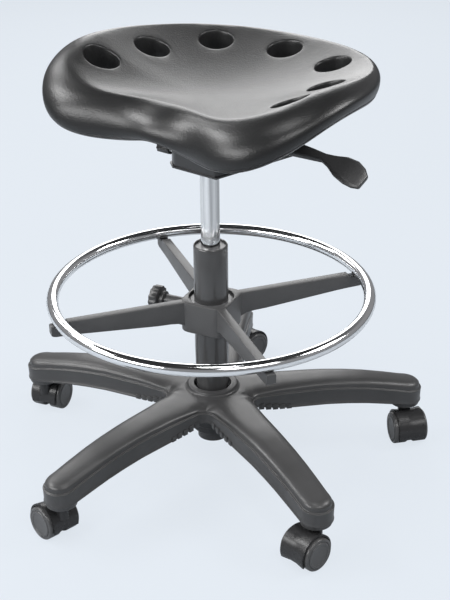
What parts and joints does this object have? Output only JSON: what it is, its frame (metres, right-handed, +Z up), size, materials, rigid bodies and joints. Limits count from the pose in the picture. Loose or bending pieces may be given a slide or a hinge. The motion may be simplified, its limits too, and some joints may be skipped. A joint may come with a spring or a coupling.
{
  "type": "perch stool",
  "caption": "Height-adjustable perch stool: moulded saddle seat with a row of round holes, tilt mechanism, gas column, adjustable foot ring and five-legged base on twin-wheel casters.",
  "frame": {"origin": "centre of the footprint (the bounding box seen from above) on the floor", "axes": "+Z up; -Y towards the front of the seat, +X towards the sitter's left, where the release lever is"},
  "size_m": [0.6434, 0.6524, 0.6337],
  "materials": {
    "foam": "moulded self-skin foam, leather grain, satin",
    "steel": "plain steel",
    "black_steel": "black powder coat",
    "rubber": "matt rubber",
    "black_plastic": "fine grain",
    "chrome": "bright chrome",
    "nylon": "plain",
    "base_nylon": "fine grain, satin",
    "caster_plastic": "fine grain",
    "wheel": "satin black"
  },
  "bodies": {
    "stand": {"base_star": "base_nylon", "base_hub_insert": "steel", "column_tube": "black_steel", "guide_bush": "nylon", "thrust_bearing": "steel", "caster_1_stem": "steel", "caster_2_stem": "steel", "caster_3_stem": "steel", "caster_4_stem": "steel", "caster_5_stem": "steel"},
    "rod": {"piston_rod": "chrome", "piston": "steel", "retaining_clip": "steel"},
    "lift": {"gas_cylinder": "chrome", "taper_cup": "steel", "mechanism_housing": "black_steel", "tilt_axle": "steel", "rest_buffer": "rubber", "lever_pivot": "steel"},
    "seat": {"seat_pad": "foam", "seat_insert": "steel", "seat_plate": "black_steel", "seat_bolt_1": "steel", "seat_bolt_2": "steel", "seat_bolt_3": "steel", "seat_bolt_4": "steel"},
    "lever": {"release_lever": "black_steel", "lever_handle": "black_plastic"},
    "button": {"valve_button": "steel"},
    "lock": {"lock_knob": "black_plastic"},
    "footring": {"foot_ring": "chrome", "ring_spider": "black_plastic", "spider_bush": "nylon"},
    "ring_clamp": {"clamp_screw": "steel", "clamp_knob": "black_plastic"},
    "caster_1": {"caster_1_hood": "caster_plastic", "caster_1_axle": "steel"},
    "wheel_1_left": {"caster_1_wheel_left": "wheel"},
    "wheel_1_right": {"caster_1_wheel_right": "wheel"},
    "caster_2": {"caster_2_hood": "caster_plastic", "caster_2_axle": "steel"},
    "wheel_2_left": {"caster_2_wheel_left": "wheel"},
    "wheel_2_right": {"caster_2_wheel_right": "wheel"},
    "caster_3": {"caster_3_hood": "caster_plastic", "caster_3_axle": "steel"},
    "wheel_3_left": {"caster_3_wheel_left": "wheel"},
    "wheel_3_right": {"caster_3_wheel_right": "wheel"},
    "caster_4": {"caster_4_hood": "caster_plastic", "caster_4_axle": "steel"},
    "wheel_4_left": {"caster_4_wheel_left": "wheel"},
    "wheel_4_right": {"caster_4_wheel_right": "wheel"},
    "caster_5": {"caster_5_hood": "caster_plastic", "caster_5_axle": "steel"},
    "wheel_5_left": {"caster_5_wheel_left": "wheel"},
    "wheel_5_right": {"caster_5_wheel_right": "wheel"}
  },
  "joints": [
    {"name": "seat_swivel", "type": "hinge", "parent": "stand", "child": "rod", "pos_m": [0.01569, 0.00584, 0.044], "axis": [0, 0, 1], "continuous": true},
    {"name": "seat_height", "type": "slide", "parent": "rod", "child": "lift", "axis": [0, 0, 1], "range_m": [-0.115, 0.085]},
    {"name": "seat_tilt", "type": "hinge", "parent": "lift", "child": "seat", "pos_m": [0.01569, -0.02016, 0.5045], "axis": [1, 0, 0], "range_deg": [0, 8]},
    {"name": "lever_lift", "type": "hinge", "parent": "lift", "child": "lever", "pos_m": [0.06369, 0.02084, 0.5285], "axis": [0, -1, 0], "range_deg": [0, 5], "stiffness_Nm_per_rad": 2},
    {"name": "valve_press", "type": "slide", "parent": "lift", "child": "button", "axis": [0, 0, -1], "range_m": [0, 0.005], "stiffness_N_per_m": 2000},
    {"name": "lock_turn", "type": "hinge", "parent": "lift", "child": "lock", "pos_m": [-0.04331, -0.02016, 0.5045], "axis": [1, 0, 0], "range_deg": [0, 270]},
    {"name": "ring_height", "type": "slide", "parent": "stand", "child": "footring", "axis": [0, 0, 1], "range_m": [-0.09, 0.08]},
    {"name": "clamp_turn", "type": "hinge", "parent": "footring", "child": "ring_clamp", "pos_m": [-0.043, -0.00663, 0.253], "axis": [-0.9781, -0.2079, 0], "range_deg": [0, 270]},
    {"name": "caster_1_swivel", "type": "hinge", "parent": "stand", "child": "caster_1", "pos_m": [0.2242, 0.23212, 0.056], "axis": [0, 0, 1], "continuous": true},
    {"name": "wheel_1_left_spin", "type": "hinge", "parent": "caster_1", "child": "wheel_1_left", "pos_m": [0.2498, 0.23121, 0.025], "axis": [0.6521, 0.7581, 0], "continuous": true},
    {"name": "wheel_1_right_spin", "type": "hinge", "parent": "caster_1", "child": "wheel_1_right", "pos_m": [0.22893, 0.20695, 0.025], "axis": [0.6521, 0.7581, 0], "continuous": true},
    {"name": "caster_2_swivel", "type": "hinge", "parent": "stand", "child": "caster_2", "pos_m": [-0.13508, 0.27408, 0.056], "axis": [0, 0, 1], "continuous": true},
    {"name": "wheel_2_left_spin", "type": "hinge", "parent": "caster_2", "child": "wheel_2_left", "pos_m": [-0.14657, 0.29696, 0.025], "axis": [-0.9781, 0.2079, 0], "continuous": true},
    {"name": "wheel_2_right_spin", "type": "hinge", "parent": "caster_2", "child": "wheel_2_right", "pos_m": [-0.11527, 0.29031, 0.025], "axis": [-0.9781, 0.2079, 0], "continuous": true},
    {"name": "caster_3_swivel", "type": "hinge", "parent": "stand", "child": "caster_3", "pos_m": [-0.286, -0.05466, 0.056], "axis": [0, 0, 1], "continuous": true},
    {"name": "wheel_3_left_spin", "type": "hinge", "parent": "caster_3", "child": "wheel_3_left", "pos_m": [-0.30628, -0.03902, 0.025], "axis": [-0.9715, -0.2368, 0], "continuous": true},
    {"name": "wheel_3_right_spin", "type": "hinge", "parent": "caster_3", "child": "wheel_3_right", "pos_m": [-0.27519, -0.03144, 0.025], "axis": [-0.9715, -0.2368, 0], "continuous": true},
    {"name": "caster_4_swivel", "type": "hinge", "parent": "stand", "child": "caster_4", "pos_m": [-0.01999, -0.29978, 0.056], "axis": [0, 0, 1], "continuous": true},
    {"name": "wheel_4_left_spin", "type": "hinge", "parent": "caster_4", "child": "wheel_4_left", "pos_m": [-0.0424, -0.31218, 0.025], "axis": [-0.1685, -0.9857, 0], "continuous": true},
    {"name": "wheel_4_right_spin", "type": "hinge", "parent": "caster_4", "child": "wheel_4_right", "pos_m": [-0.03701, -0.28064, 0.025], "axis": [-0.1685, -0.9857, 0], "continuous": true},
    {"name": "caster_5_swivel", "type": "hinge", "parent": "stand", "child": "caster_5", "pos_m": [0.29533, -0.12254, 0.056], "axis": [0, 0, 1], "continuous": true},
    {"name": "wheel_5_left_spin", "type": "hinge", "parent": "caster_5", "child": "wheel_5_left", "pos_m": [0.30785, -0.14488, 0.025], "axis": [0.9866, -0.1633, 0], "continuous": true},
    {"name": "wheel_5_right_spin", "type": "hinge", "parent": "caster_5", "child": "wheel_5_right", "pos_m": [0.27628, -0.13966, 0.025], "axis": [0.9866, -0.1633, 0], "continuous": true}
  ],
  "couplings": [
    {"joint": "valve_press", "follows": "lever_lift", "m_per_rad": 0.052}
  ]
}
